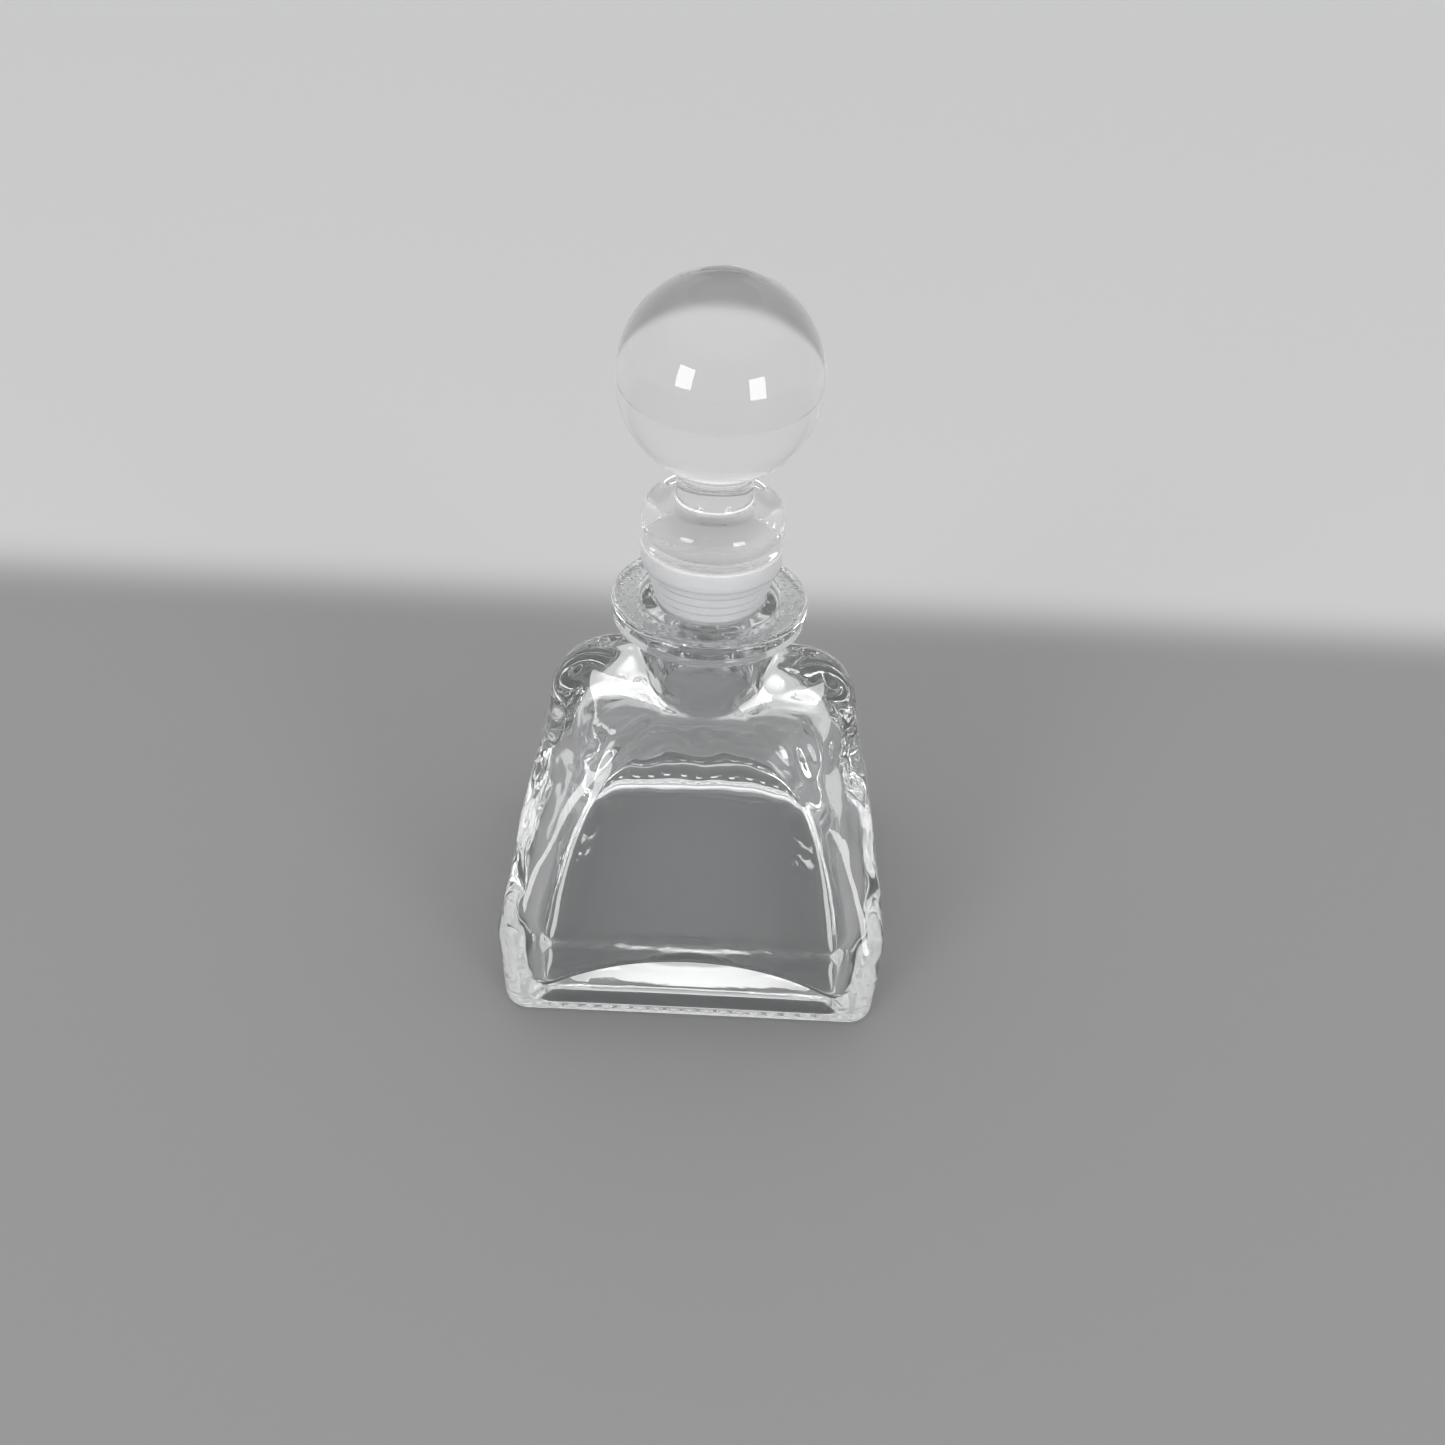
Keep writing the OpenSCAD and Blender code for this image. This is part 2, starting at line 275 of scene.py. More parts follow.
def floor_height(x, y):
    arch = FLOOR_TOP - FLOOR_RADIUS + np.sqrt(FLOOR_RADIUS ** 2 - np.minimum(np.abs(x), 33) ** 2)
    dip = FLOOR_DIP * (1 - part_of(np.abs(y), DIP_INNER_D, DIP_OUTER_D) ** 2)
    dip = dip * (1 - part_of(np.abs(x), 0, DIP_HALF_W) ** 2)
    return np.maximum(arch - dip, FLOOR_EDGE)


landing = np.empty((COLUMNS, 3))
descent = np.empty((INNER_STEPS, COLUMNS, 3))
for i in range(COLUMNS):
    below = drop_path[:, i, 2] <= floor_height(drop_path[:, i, 0], drop_path[:, i, 1])
    k = max(int(np.argmax(below)), 1)
    descent[:, i] = spaced(drop_path[:k + 1, i][:, None], INNER_STEPS)[:, 0]
    landing[i] = descent[-1, i]
sweep = np.linspace(1, 0, 100)[1:, None]
floor_x, floor_y = landing[:, 0] * sweep, landing[:, 1] * sweep
floor_path = np.stack([floor_x, floor_y, floor_height(floor_x, floor_y)], 2)


def soft_run(zones, joints_mm, count=900, passes=150):
    """One stretch of the path at even spacing, its junctions rounded over, cut back into rows.

    Each zone comes with the number of rows that it gets in the finished mesh.
    """
    whole = np.concatenate([zone for zone, _ in zones])
    step = np.linalg.norm(np.diff(whole, axis=0), axis=2)
    run = np.concatenate([np.zeros((1, COLUMNS)), np.cumsum(step, axis=0)])
    ends = np.cumsum([len(zone) for zone, _ in zones]) - 1
    length = run[-1]
    path = spaced(whole, count)
    place = np.linspace(0, 1, count)[:, None] * length[None]
    amount = np.zeros_like(place)
    for end, reach in zip(ends, joints_mm):
        if reach:
            amount = np.maximum(amount, np.exp(-((place - run[end][None]) / reach) ** 2))
    for _ in range(passes):
        path[1:-1] += 0.5 * amount[1:-1, :, None] * (0.5 * (path[:-2] + path[2:]) - path[1:-1])
    rows, start = [], np.zeros(COLUMNS)
    for (_, row_count), end in zip(zones, ends):
        stop = run[end]
        for j in range(row_count):
            f = (j + 1) / row_count
            rows.append((start + (stop - start) * f) / length)
        start = stop
    rows = np.array(rows)
    made = np.empty((len(rows), COLUMNS, 3))
    share = np.linspace(0, 1, count)
    for i in range(COLUMNS):
        for axis in range(3):
            made[:, i, axis] = np.interp(rows[:, i], share, path[:, i, axis])
    return made


lower = soft_run([
    (underside(0, 0.795, 60), 7), (underside(0.795, 0.895, 40), 8), (underside(0.895, 1.0, 20), 10),
    (heel, 7), (cut[:120], 14), (cut[119:], 42), (neck_path, 8)], [0, 0, 0, 0, 0, 2.6, 0])
upper = soft_run([
    (np.concatenate([lip_path[-1:], bore_path]), 8), (ceiling, 8),
    (descent, 38), (floor_path, 20)], [2.2, 3.4, 4.6, 0])
grid = np.concatenate([lower, lip_path[:-1], upper[:-1]])
pole_low = np.array([0, 0, BAND_LIFT + RECESS + RECESS_CROWN])
pole_high = np.array([0, 0, FLOOR_TOP - FLOOR_DIP])
turned_start = len(lower)
turned_end = turned_start + len(lip_path) - 1 + 6
row = np.arange(len(grid))
is_outer, is_inner = row < turned_start, row >= turned_end

# The mould's creases are a little soft, more so inside, where the glass was free
for rounds, rows in ((4, is_outer & (row > 30)), (26, is_inner)):
    part = grid[rows]
    for _ in range(rounds):
        part = 0.5 * part + 0.25 * (np.roll(part, 1, axis=1) + np.roll(part, -1, axis=1))
    grid[rows] = part


def outward_of(points):
    """The way that the surface faces at each point."""
    sideways = np.roll(points, -1, axis=1) - np.roll(points, 1, axis=1)
    n = np.cross(sideways, np.gradient(points, axis=0))
    return n / np.maximum(np.linalg.norm(n, axis=2, keepdims=True), 1e-9)


# Ripples of the cooled glass: faint on the flat faces, strong on cheeks, corners and shoulders
height = grid[..., 2]
off_panel = part_of(np.abs(grid[..., 0]) - panel_half_width(height) + 1.5, 0, 4)
near_top = part_of(height, 50.5, 54)
low_down = 0.3 + 0.7 * part_of(height, 16, 30)
body = part_of(height, 2.0, 5.0) * (1 - part_of(height, 66, 70))
outer_ripple = body * (0.012 + 0.05 * np.maximum(off_panel, near_top))
inner_ripple = body * low_down * (0.02 + 0.26 * np.maximum(off_panel, 0.8 * near_top))
swell = np.where(
    is_outer[:, None],
    outer_ripple * waves(grid, 9.0, 4, (1, 1, 0.6)),
    inner_ripple * (waves(grid, 11.0, 7, (1, 1, 0.4)) + 0.5 * waves(grid, 5.5, 9, (1, 1, 0.35))))
swell[turned_start:turned_end] = 0
grid += outward_of(grid) * swell[..., None]


def smooth_object(name, verts, faces):
    mesh = bpy.data.meshes.new(name)
    mesh.from_pydata(verts.tolist(), [], faces)
    mesh.polygons.foreach_set("use_smooth", [True] * len(mesh.polygons))
    mesh.update()
    obj = bpy.data.objects.new(name, mesh)
    bpy.context.scene.collection.objects.link(obj)
    return obj


def glass_mesh(name, rows, low, high):
    """A closed mesh through rows of points, with one point at each pole."""
    count, columns = rows.shape[:2]
    verts = np.concatenate([[low], rows.reshape(-1, 3), [high]]) * MM
    faces = []
    for j in range(count - 1):
        a = 1 + j * columns
        for i in range(columns):
            k = (i + 1) % columns
            faces.append((a + i, a + k, a + columns + k, a + columns + i))
    last = 1 + (count - 1) * columns
    for i in range(columns):
        k = (i + 1) % columns
        faces.append((0, 1 + k, 1 + i))
        faces.append((len(verts) - 1, last + i, last + k))
    return smooth_object(name, verts, faces)


bottle = glass_mesh("bottle_glass", grid, pole_low, pole_high)


# Helpers for shader and geometry trees alike: each adds one node and gives its output
def feed(tree, socket, value):
    """Links a socket to an output, or sets it to a number."""
    if hasattr(value, "is_linked"):
        tree.links.new(value, socket)
    else:
        socket.default_value = value


def maths(tree, operation, *values):
    node = tree.nodes.new("ShaderNodeMath")
    node.operation = operation
    for socket, value in zip(node.inputs, values):
        feed(tree, socket, value)
    return node.outputs["Value"]


def vector_maths(tree, operation, value, output="Vector"):
    node = tree.nodes.new("ShaderNodeVectorMath")
    node.operation = operation
    feed(tree, node.inputs[0], value)
    return node.outputs[output]


def ranged(tree, value, low, high, first, last, shape="LINEAR"):
    """Maps value from low..high to first..last, and holds it there."""
    node = tree.nodes.new("ShaderNodeMapRange")
    node.interpolation_type = shape
    labels = ("Value", "From Min", "From Max", "To Min", "To Max")
    for label, number in zip(labels, (value, low, high, first, last)):
        feed(tree, node.inputs[label], number)
    return node.outputs["Result"]


def parts_of(tree, vector):
    node = tree.nodes.new("ShaderNodeSeparateXYZ")
    tree.links.new(vector, node.inputs["Vector"])
    return node.outputs


def level_place(tree, parts):
    """The same place with no height."""
    node = tree.nodes.new("ShaderNodeCombineXYZ")
    for axis in "XY":
        tree.links.new(parts[axis], node.inputs[axis])
    return node.outputs["Vector"]


def noise(tree, vector, scale, detail, roughness=0.5):
    node = tree.nodes.new("ShaderNodeTexNoise")
    for label, number in (("Scale", scale), ("Detail", detail), ("Roughness", roughness)):
        node.inputs[label].default_value = number
    tree.links.new(vector, node.inputs["Vector"])
    return node.outputs["Fac"]


def bumped(tree, height, strength, distance, under=None):
    node = tree.nodes.new("ShaderNodeBump")
    node.inputs["Strength"].default_value = strength
    node.inputs["Distance"].default_value = distance
    tree.links.new(height, node.inputs["Height"])
    if under:
        tree.links.new(under, node.inputs["Normal"])
    return node.outputs["Normal"]


def new_material(name):
    """A new material's tree, its main shader and its place on the object."""
    material = bpy.data.materials.new(name)
    material.use_nodes = True
    tree = material.node_tree
    place = tree.nodes.new("ShaderNodeTexCoord").outputs["Object"]
    return material, tree, tree.nodes["Principled BSDF"], place


GLASS_IOR = 1.51
PIT_START, PIT_FULL = 0.0764, 0.07646  # heights in metres, just under the top of the lip
PIT_SCALE, PIT_STRENGTH, PIT_DEPTH, PIT_SATIN = 1100, 1.0, 0.0003, 0.22


def clear_glass(name, tint, skin_scale, smudge, ground_below, ground_rough, pitted):
    material, tree, shader, place = new_material(name)
    shader.inputs["Base Color"].default_value = tint
    shader.inputs["IOR"].default_value = GLASS_IOR
    shader.inputs["Transmission Weight"].default_value = 1.0
    z = parts_of(tree, place)["Z"]
    # fingers and dust leave faint cloudy patches, and the glass below one height is ground
    haze = ranged(tree, noise(tree, place, 95, 6, 0.62), 0.52, 0.80, 0.0, smudge)
    ground = ranged(tree, z, ground_below, ground_below + 0.0002, ground_rough, 0.0)
    rough = maths(tree, "ADD", haze, ground)
    # shallow unevenness of the mould's skin
    normal = bumped(tree, noise(tree, place, skin_scale, 2), 0.12, 0.0002)
    if pitted:
        above = ranged(tree, z, PIT_START, PIT_FULL, 0.0, 1.0)
        cells = tree.nodes.new("ShaderNodeTexVoronoi")
        cells.inputs["Scale"].default_value = PIT_SCALE
        tree.links.new(place, cells.inputs["Vector"])
        dimples = ranged(tree, cells.outputs["Distance"], 0.05, 0.42, 0.0, 1.0)
        pits = maths(tree, "MULTIPLY", above, dimples)
        normal = bumped(tree, pits, PIT_STRENGTH, PIT_DEPTH, normal)
        rough = maths(tree, "MULTIPLY_ADD", above, PIT_SATIN, rough)
    tree.links.new(rough, shader.inputs["Roughness"])
    tree.links.new(normal, shader.inputs["Normal"])
    return material


bottle_glass = clear_glass(
    "bottle_clear_glass", (0.962, 0.972, 0.974, 1), 160, 0.10, 0.0006, 0.12, True)


def new_modifier_tree(name, number_labels):
    """A geometry tree with its inputs: the shape, the named numbers and a material."""
    tree = bpy.data.node_groups.new(name, "GeometryNodeTree")
    tree.is_modifier = True
    sockets = [("Geometry", "INPUT", "NodeSocketGeometry")]
    sockets += [(label, "INPUT", "NodeSocketFloat") for label in number_labels]
    sockets += [("Material", "INPUT", "NodeSocketMaterial"),
                ("Geometry", "OUTPUT", "NodeSocketGeometry")]
    for label, way, kind in sockets:
        tree.interface.new_socket(label, in_out=way, socket_type=kind)
    return tree, tree.nodes.new("NodeGroupInput").outputs


def move_and_coat(tree, given, chosen, offset):
    """Moves the chosen points, makes instances real, sets the material and ends the tree."""
    link = tree.links.new
    move = tree.nodes.new("GeometryNodeSetPosition")
    link(given["Geometry"], move.inputs["Geometry"])
    link(chosen, move.inputs["Selection"])
    link(offset, move.inputs["Offset"])
    real = tree.nodes.new("GeometryNodeRealizeInstances")
    link(move.outputs["Geometry"], real.inputs["Geometry"])
    coat = tree.nodes.new("GeometryNodeSetMaterial")
    link(real.outputs["Geometry"], coat.inputs["Geometry"])
    link(given["Material"], coat.inputs["Material"])
    link(coat.outputs["Geometry"], tree.nodes.new("NodeGroupOutput").inputs["Geometry"])


def shape_with(obj, tree, values):
    """Runs the tree on the object and keeps the result as its own plain mesh."""
    modifier = obj.modifiers.new(tree.name, "NODES")
    modifier.node_group = tree
    for item in tree.interface.items_tree:
        if item.item_type == "SOCKET" and item.in_out == "INPUT" and item.name in values:
            modifier[item.identifier] = values[item.name]
    bpy.context.view_layer.update()
    graph = bpy.context.evaluated_depsgraph_get()
    mesh = bpy.data.meshes.new_from_object(obj.evaluated_get(graph))
    obj.modifiers.remove(modifier)
    old = obj.data
    obj.data = mesh
    bpy.data.meshes.remove(old)
    mesh.polygons.foreach_set("use_smooth", [True] * len(mesh.polygons))


# The stipples on the bearing band: small domes at an even pitch along a rounded rectangle
UNDERSIDE_TOP = 0.0009  # metres: only what lies lower than this is stippled
stipple, given = new_modifier_tree("base_stipple", (
    "Path Width", "Path Depth", "Path Corner", "Dot Pitch", "Dot Radius", "Dot Height"))
nodes, link = stipple.nodes, stipple.links.new
outline = nodes.new("GeometryNodeCurvePrimitiveQuadrilateral")
link(given["Path Width"], outline.inputs["Width"])
link(given["Path Depth"], outline.inputs["Height"])
rounded = nodes.new("GeometryNodeFilletCurve")
rounded.mode = "POLY"
rounded.inputs["Count"].default_value = 6
link(outline.outputs["Curve"], rounded.inputs["Curve"])
link(given["Path Corner"], rounded.inputs["Radius"])
dots = nodes.new("GeometryNodeResampleCurve")
dots.mode = "LENGTH"
link(rounded.outputs["Curve"], dots.inputs["Curve"])
link(given["Dot Pitch"], dots.inputs["Length"])
points = nodes.new("GeometryNodeCurveToPoints")
points.mode = "EVALUATED"
link(dots.outputs["Curve"], points.inputs["Curve"])
near = nodes.new("GeometryNodeProximity")
near.target_element = "POINTS"
link(points.outputs["Points"], near.inputs[0])
place = parts_of(stipple, nodes.new("GeometryNodeInputPosition").outputs["Position"])
link(level_place(stipple, place), near.inputs["Sample Position"])
offset = nodes.new("ShaderNodeCombineXYZ")
full_height = maths(stipple, "MULTIPLY", given["Dot Height"], -1.0)
dome = ranged(stipple, near.outputs["Distance"], 0.0, given["Dot Radius"], full_height, 0.0,
              "SMOOTHSTEP")
link(dome, offset.inputs["Z"])
lowest = maths(stipple, "LESS_THAN", place["Z"], UNDERSIDE_TOP)
move_and_coat(stipple, given, lowest, offset.outputs["Vector"])
shape_with(bottle, stipple, {
    "Path Width": 66.4 * MM, "Path Depth": 60.4 * MM, "Path Corner": 4 * MM, "Dot Pitch": 3.25 * MM,
    "Dot Radius": 1.3 * MM, "Dot Height": 0.34 * MM, "Material": bottle_glass})
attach(bottle, "bottle")
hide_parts("bottle", "neck")

# ---------------------------------------------------------------------------------------------
# Sleeve: soft, frosted polyethylene, injection-moulded. It is pushed over the stopper's shank up to
# the collar, and its tapered ribs seal against the seat in the neck.
# ---------------------------------------------------------------------------------------------
TIP_Z, RIB_TOP, SLEEVE_TOP, TAPER, SEAT_GAP = 72.3, 83.4, 87.19, 0.3, 0.05
RIBS, NOTCH = 6, 0.4
# the soft plastic is squeezed against the glass, so its hole is a touch smaller than the shank
PIN_R, PLATE = 6.68, 1.07
SLEEVE_COLUMNS = 160


def envelope(z):
    return SEAT_R - SEAT_GAP - TAPER * (SEAT_Z - z)


sleeve_profile = np.array(
    [(PIN_R, z) for z in np.linspace(SLEEVE_TOP, TIP_Z + PLATE, 50)]
    + [(r, TIP_Z + PLATE) for r in np.linspace(PIN_R - 0.3, 0.02, 12)]
    + [(r, TIP_Z) for r in np.linspace(0.02, envelope(TIP_Z), 16)]
    + [(envelope(z), z) for z in np.linspace(TIP_Z, RIB_TOP, 110)[1:]]
    + [(11.55, RIB_TOP + 0.03), (11.85, RIB_TOP + 0.12), (11.93, RIB_TOP + 0.4),
       (11.95, RIB_TOP + 1.0), (11.98, SLEEVE_TOP - 1.2), (11.97, SLEEVE_TOP - 0.5),
       (11.9, SLEEVE_TOP - 0.1), (11.75, SLEEVE_TOP)]
    + [(r, SLEEVE_TOP - 0.05 * (1 - abs(math.sin(2.4 * r))))
       for r in np.linspace(11.6, PIN_R + 0.1, 30)])

# the profile is a closed loop, from the hole's top down, across, up the outside and back
sleeve_angle = 2 * math.pi * np.arange(SLEEVE_COLUMNS) / SLEEVE_COLUMNS
sleeve_rows = ring_at(sleeve_profile[:, 0], sleeve_profile[:, 1], sleeve_angle) * MM
sleeve_faces = []
for j in range(len(sleeve_profile)):
    a, b = j * SLEEVE_COLUMNS, ((j + 1) % len(sleeve_profile)) * SLEEVE_COLUMNS
    for i in range(SLEEVE_COLUMNS):
        k = (i + 1) % SLEEVE_COLUMNS
        sleeve_faces.append((a + i, a + k, b + k, b + i))
sleeve = smooth_object("sealing_sleeve", sleeve_rows.reshape(-1, 3), sleeve_faces)

# radii and heights between which the plain plastic turns to a whiter one, painted light on the
# hole's wall and the top face
HOLE_PLAIN, HOLE_WHITE, TOP_PLAIN, TOP_WHITE = 7.4, 7.1, 86.8, 87.1
OUTSIDE_WHITE, PAINTED_LIGHT_WHITE = (0.64, 0.645, 0.655, 1), (0.97, 0.97, 0.97, 1)
frosted, tree, plastic, place = new_material("frosted_sleeve_plastic")
plastic.inputs["IOR"].default_value = 1.5
plastic.inputs["Subsurface Weight"].default_value = 1.0
plastic.inputs["Subsurface Radius"].default_value = (1.0, 1.0, 1.0)
plastic.inputs["Subsurface Scale"].default_value = 0.005
parts = parts_of(tree, place)
grain = noise(tree, place, 900, 4)
# painted light: the hole's wall and the top face sit inside the glass, where little light reaches
# them, so they are painted whiter than the outside
from_axis = vector_maths(tree, "LENGTH", level_place(tree, parts), "Value")
hole_wall = ranged(tree, from_axis, HOLE_PLAIN * MM, HOLE_WHITE * MM, 0.0, 1.0)
top_face = ranged(tree, parts["Z"], TOP_PLAIN * MM, TOP_WHITE * MM, 0.0, 1.0)
# painted light: mixes the whiter colour onto the hole's wall and the top face
painted_light_mix = tree.nodes.new("ShaderNodeMix")
painted_light_mix.data_type = "RGBA"
painted_light_mix.inputs["A"].default_value = OUTSIDE_WHITE
painted_light_mix.inputs["B"].default_value = PAINTED_LIGHT_WHITE
tree.links.new(maths(tree, "MAXIMUM", top_face, hole_wall), painted_light_mix.inputs["Factor"])
tree.links.new(painted_light_mix.outputs["Result"], plastic.inputs["Base Color"])
tree.links.new(ranged(tree, grain, 0.0, 1.0, 0.34, 0.56), plastic.inputs["Roughness"])
lines = tree.nodes.new("ShaderNodeTexWave")
lines.wave_type = "BANDS"
lines.bands_direction = "Z"
lines.inputs["Scale"].default_value = 900
lines.inputs["Distortion"].default_value = 0.6
tree.links.new(place, lines.inputs["Vector"])
tool_marks = bumped(tree, maths(tree, "ADD", lines.outputs["Fac"], grain), 0.25, 0.0001)
tree.links.new(tool_marks, plastic.inputs["Normal"])

# The ribs: saw teeth turned round the taper, cut into the plain sleeve at an even pitch
RIB_CREST, RIB_KNEE, HOLE_MARGIN = 0.35, 0.9, 0.9
ribbing, given = new_modifier_tree("sealing_ribs", (
    "Tip Height", "Rib Pitch", "Notch Depth", "Rib Top", "Hole Radius"))
link = ribbing.links.new
place = parts_of(ribbing, ribbing.nodes.new("GeometryNodeInputPosition").outputs["Position"])
above_tip = maths(ribbing, "SUBTRACT", place["Z"], given["Tip Height"])
tooth = maths(ribbing, "FRACT", maths(ribbing, "DIVIDE", above_tip, given["Rib Pitch"]))
depth = maths(ribbing, "ADD", ranged(ribbing, tooth, 0.0, RIB_CREST, 1.0, 0.0),
              ranged(ribbing, tooth, RIB_CREST, RIB_KNEE, 0.0, 0.68))
depth = maths(ribbing, "ADD", depth, ranged(ribbing, tooth, RIB_KNEE, 1.0, 0.0, 0.32))
flat_place = level_place(ribbing, place)
reach = vector_maths(ribbing, "LENGTH", flat_place, "Value")
shift = ribbing.nodes.new("ShaderNodeVectorMath")
shift.operation = "SCALE"
link(vector_maths(ribbing, "NORMALIZE", flat_place), shift.inputs[0])
cut_depth = maths(ribbing, "MULTIPLY", depth, given["Notch Depth"])
link(maths(ribbing, "MULTIPLY", cut_depth, -1.0), shift.inputs["Scale"])
past_hole = maths(ribbing, "ADD", given["Hole Radius"], HOLE_MARGIN * MM)
on_outside = maths(ribbing, "GREATER_THAN", reach, past_hole)
in_height = maths(ribbing, "LESS_THAN", place["Z"], given["Rib Top"])
chosen = maths(ribbing, "MULTIPLY", on_outside, in_height)
move_and_coat(ribbing, given, chosen, shift.outputs["Vector"])
shape_with(sleeve, ribbing, {
    "Tip Height": TIP_Z * MM, "Rib Pitch": (RIB_TOP - TIP_Z) / RIBS * MM, "Notch Depth": NOTCH * MM,
    "Rib Top": (RIB_TOP + 0.01) * MM, "Hole Radius": PIN_R * MM, "Material": frosted})
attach(sleeve, "sleeve")
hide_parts("sleeve")

# ---------------------------------------------------------------------------------------------
# Stopper: one solid piece of pressed and polished clear glass. The ball sits on a short stem over a
# round collar, and the shank below it holds the sleeve by a small bead.
# ---------------------------------------------------------------------------------------------
BALL_R, BALL_Z, STEM_R, STEM_Z, STEM_TALL = 15.9, 114.62, 6.25, 94.6, 3.6
COLLAR_R, COLLAR_Z, COLLAR_TALL, COLLAR_ROUND, COLLAR_EDGE = 12.0, 87.2, 3.9, 3.0, 0.5
SHANK_R, SHANK_END, SHANK_ROUND, BEAD, BEAD_Z, BEAD_HALF = 6.7, 73.35, 0.8, 0.35, 76.9, 0.7
STOPPER_COLUMNS = 200


def quarter_turn(first, count):
    return np.linspace(first, math.pi / 2, count)


ball_start = math.asin(STEM_R / BALL_R)
stopper_profile = np.array(
    # shank, with its rounded end and its bead
    [(SHANK_R * f, SHANK_END) for f in (0.12, 0.3, 0.5, 0.7, 0.82)]
    + [(SHANK_R - SHANK_ROUND + SHANK_ROUND * math.sin(a),
        SHANK_END + SHANK_ROUND - SHANK_ROUND * math.cos(a)) for a in quarter_turn(0.2, 6)]
    + [(SHANK_R, z) for z in np.linspace(SHANK_END + 1.2, 76.2, 5)]
    + [(SHANK_R + BEAD * math.cos((z - BEAD_Z) / BEAD_HALF * math.pi / 2) ** 2, z)
       for z in np.linspace(76.25, 77.55, 9)]
    + [(SHANK_R, z) for z in np.linspace(77.7, COLLAR_Z - 0.25, 9)]
    + [(SHANK_R + 0.06, COLLAR_Z - 0.08), (SHANK_R + 0.25, COLLAR_Z)]
    # collar
    + [(r, COLLAR_Z) for r in np.linspace(SHANK_R + 0.6, COLLAR_R - COLLAR_EDGE, 8)]
    + [(COLLAR_R - COLLAR_EDGE + COLLAR_EDGE * math.sin(a),
        COLLAR_Z + COLLAR_EDGE - COLLAR_EDGE * math.cos(a)) for a in quarter_turn(0.15, 6)]
    + [(COLLAR_R - 0.03 * (1 - math.cos(2 * math.pi * f)), COLLAR_Z + COLLAR_EDGE + f * COLLAR_TALL)
       for f in np.linspace(0, 1, 10)[1:]]
    + [(COLLAR_R - COLLAR_ROUND + COLLAR_ROUND * math.cos(a),
        STEM_Z - COLLAR_ROUND + COLLAR_ROUND * math.sin(a)) for a in quarter_turn(0, 18)[1:]]
    # stem, a little waisted
    + [(STEM_R + 1.5, STEM_Z)]
    + [(STEM_R + 1 - math.sin(a), STEM_Z + 1 - math.cos(a)) for a in quarter_turn(0.05, 10)]
    + [(STEM_R - 0.05 * math.sin(math.pi * f), STEM_Z + 1 + f * STEM_TALL)
       for f in np.linspace(0, 1, 9)[1:]]
    + [(STEM_R + 0.22 * math.exp(-3 * (1 - f)) - 0.22 * math.exp(-3), STEM_Z + 4.6 + 0.5 * f)
       for f in (0.3, 0.7)]
    # ball
    + [(BALL_R * math.sin(a), BALL_Z - BALL_R * math.cos(a))
       for a in np.linspace(ball_start + 0.035, math.pi - 0.02, 100)])
stopper_angle = 2 * math.pi * np.arange(STOPPER_COLUMNS) / STOPPER_COLUMNS
stopper_rows = ring_at(stopper_profile[:, 0], stopper_profile[:, 1], stopper_angle)
calm = part_of(stopper_rows[..., 2], STEM_Z - 6, STEM_Z + 4)
swell = (0.006 + 0.008 * (1 - calm)) * part_of(stopper_rows[..., 2], COLLAR_Z + 1, COLLAR_Z + 3)
swell = swell * (1 + 0.6 * waves(stopper_rows, 11.0, 21))
stopper_rows -= outward_of(stopper_rows) * swell[..., None]
stopper = glass_mesh("ball_stopper", stopper_rows, (0, 0, SHANK_END), (0, 0, BALL_Z + BALL_R))
stopper.data.materials.append(clear_glass(
    "stopper_clear_glass", (0.985, 0.985, 0.985, 1), 120, 0.05, 0.0869, 0.25, False))
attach(stopper, "stopper")
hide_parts("stopper")

# ---------------------------------------------------------------------------------------------
# Studio: a plain pale table lit more behind the bottle, a pale room that is brightest overhead, two
# soft boxes in front to the left and right, and the camera above the front.
# ---------------------------------------------------------------------------------------------
TABLE_HALF = 4
floor_mesh = bpy.data.meshes.new("table_top")
corners = [(x * TABLE_HALF, y * TABLE_HALF, 0) for x, y in ((-1, -1), (1, -1), (1, 1), (-1, 1))]
floor_mesh.from_pydata(corners, [], [(0, 1, 2, 3)])
table_top = bpy.data.objects.new("table_top", floor_mesh)
bpy.context.scene.collection.objects.link(table_top)
paint, tree, paint_shader, place = new_material("pale_table_paint")
paint_shader.inputs["Base Color"].default_value = (0.265, 0.265, 0.268, 1)
paint_shader.inputs["Roughness"].default_value = 0.7
table_top.data.materials.append(paint)

WALLS, OVERHEAD = 0.62, 1.1
world = bpy.data.worlds.new("pale_room")
bpy.context.scene.world = world
world.use_nodes = True
tree = world.node_tree
back = tree.nodes["Background"]
way_up = parts_of(tree, tree.nodes.new("ShaderNodeTexCoord").outputs["Generated"])["Z"]
glow = ranged(tree, way_up, 0.45, 0.85, WALLS, OVERHEAD, "SMOOTHSTEP")
tree.links.new(glow, back.inputs["Strength"])
back.inputs["Color"].default_value = (1, 1, 1, 1)


def hidden_lamp(name, wide, tall, radiance):
    """A rectangular lamp of the given evenly bright face, which the camera doesn't see."""
    lamp = bpy.data.lights.new(name, "AREA")
    lamp.shape = "RECTANGLE"
    lamp.size, lamp.size_y = wide, tall
    lamp.energy = radiance * math.pi * wide * tall
    holder = bpy.data.objects.new(name, lamp)
    bpy.context.scene.collection.objects.link(holder)
    holder.visible_camera = False
    return holder


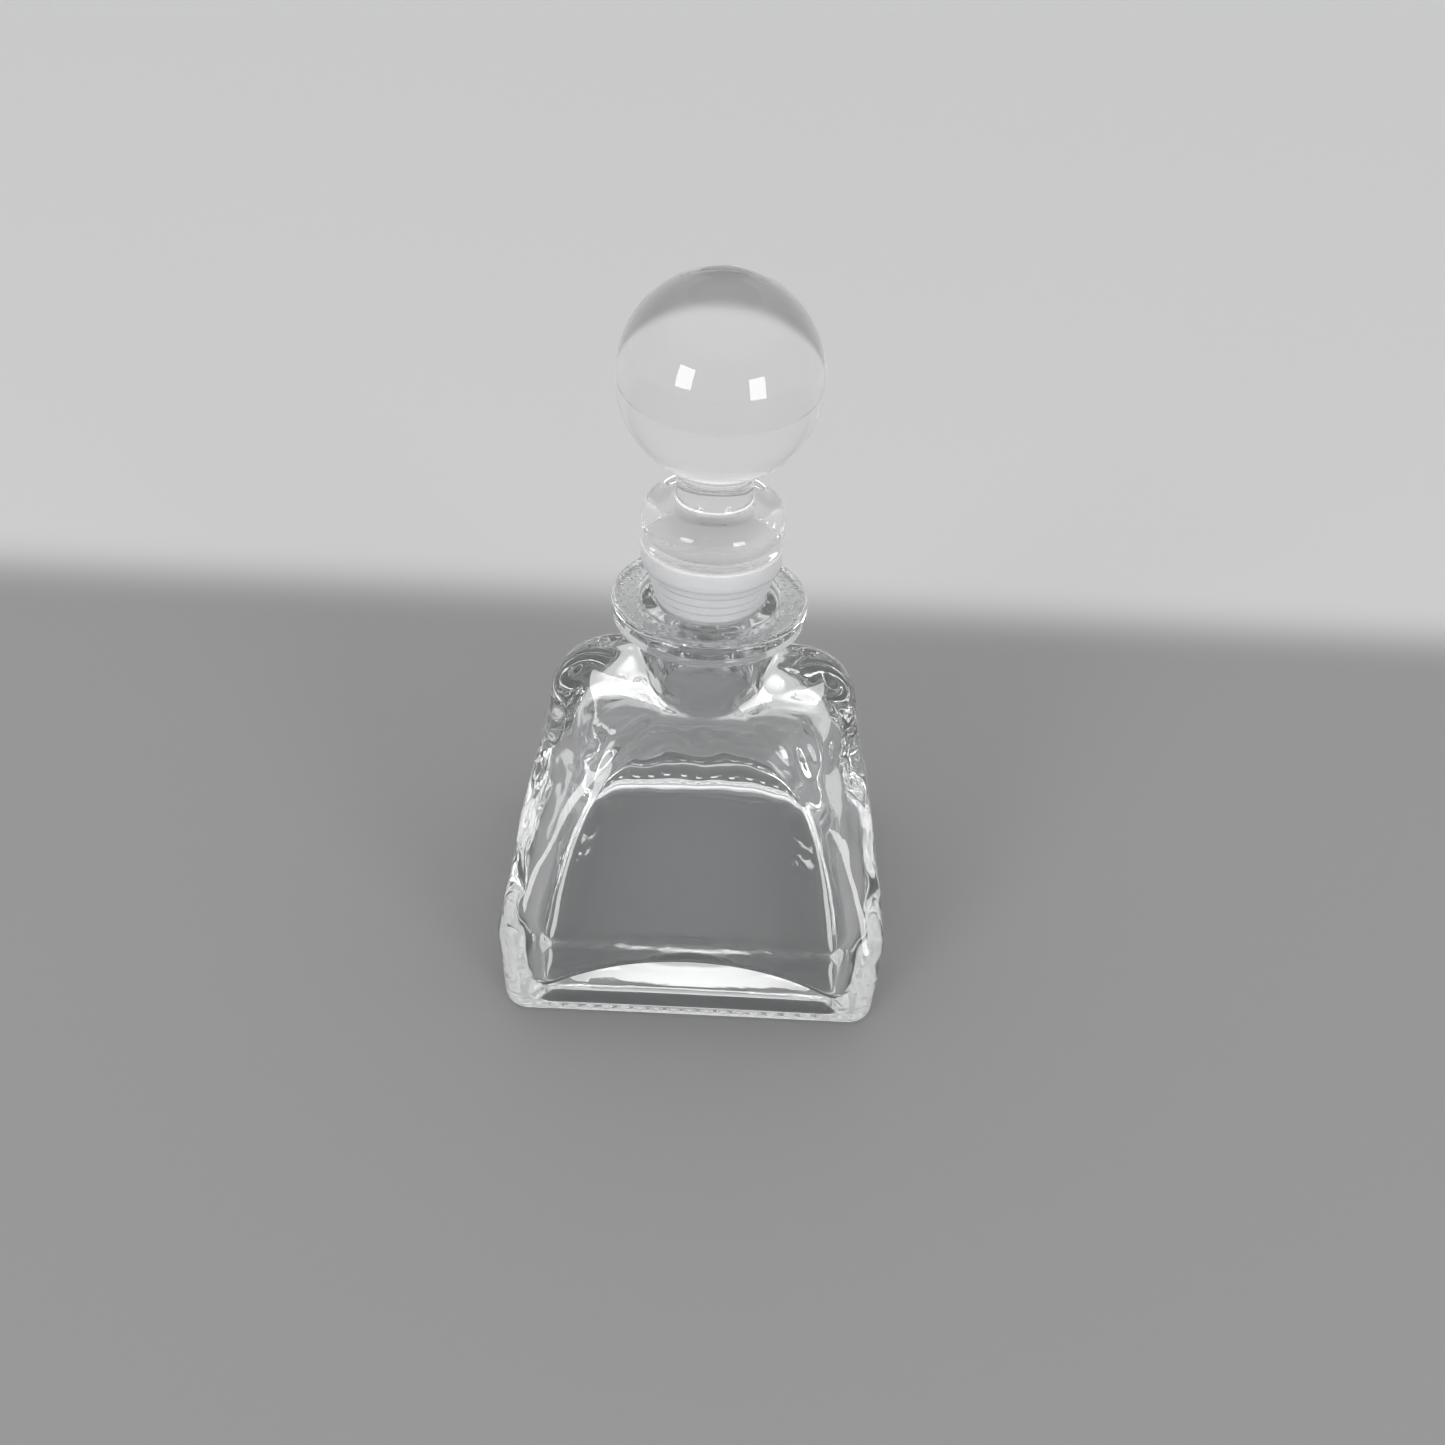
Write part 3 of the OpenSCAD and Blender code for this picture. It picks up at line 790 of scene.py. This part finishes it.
# a wide lamp over the table behind the bottle, which shines straight down in a narrow beam
table_light = hidden_lamp("table_light_behind", 6.0, 4.0, 1.1)
table_light.data.spread = math.radians(8)
table_light.location = (0, 2.115, 0.3)

BOX_WIDE, BOX_TALL, BOX_RADIANCE, BOX_DISTANCE, AIM_HEIGHT = 0.38, 0.45, 9.0, 1.2, 0.1
for name, azimuth, elevation in (("soft_box_left", -39.5, 16.7), ("soft_box_right", 41.0, 9.7)):
    soft_box = hidden_lamp(name, BOX_WIDE, BOX_TALL, BOX_RADIANCE)
    a, e = math.radians(azimuth), math.radians(elevation)
    way = Vector((math.sin(a) * math.cos(e), -math.cos(a) * math.cos(e), math.sin(e)))
    soft_box.location = way * BOX_DISTANCE + Vector((0, 0, AIM_HEIGHT))
    soft_box.rotation_euler = way.to_track_quat("Z", "Y").to_euler()

TURN_BY, TILT, ROLL = 0.021, 0.689, 0.065
CAMERA_X, CAMERA_Y, CAMERA_Z = 0.000299, -0.160452, 0.179638
SENSOR, FOCAL_SHARE = 36, 1094.629 / 1445
camera_data = bpy.data.cameras.new("camera")
camera_data.sensor_width = SENSOR
camera_data.lens = FOCAL_SHARE * SENSOR
camera_data.clip_start = 0.01
camera = bpy.data.objects.new("camera", camera_data)
bpy.context.scene.collection.objects.link(camera)
ahead = np.array([
    math.sin(TURN_BY) * math.cos(TILT), math.cos(TURN_BY) * math.cos(TILT), -math.sin(TILT)])
level = np.array([math.cos(TURN_BY), -math.sin(TURN_BY), 0])
upright = np.cross(level, ahead)
right = math.cos(ROLL) * level + math.sin(ROLL) * upright
up = -math.sin(ROLL) * level + math.cos(ROLL) * upright
camera.matrix_world = Matrix([
    [right[0], up[0], -ahead[0], CAMERA_X],
    [right[1], up[1], -ahead[1], CAMERA_Y],
    [right[2], up[2], -ahead[2], CAMERA_Z],
    [0, 0, 0, 1]])
bpy.context.scene.camera = camera
bpy.context.scene.view_settings.view_transform = "Standard"
# light crosses and bounces inside thick glass many times before it gets out
for limit, bounces in (("max_bounces", 40), ("transmission_bounces", 40), ("glossy_bounces", 30),
                       ("diffuse_bounces", 10)):
    setattr(bpy.context.scene.cycles, limit, bounces)
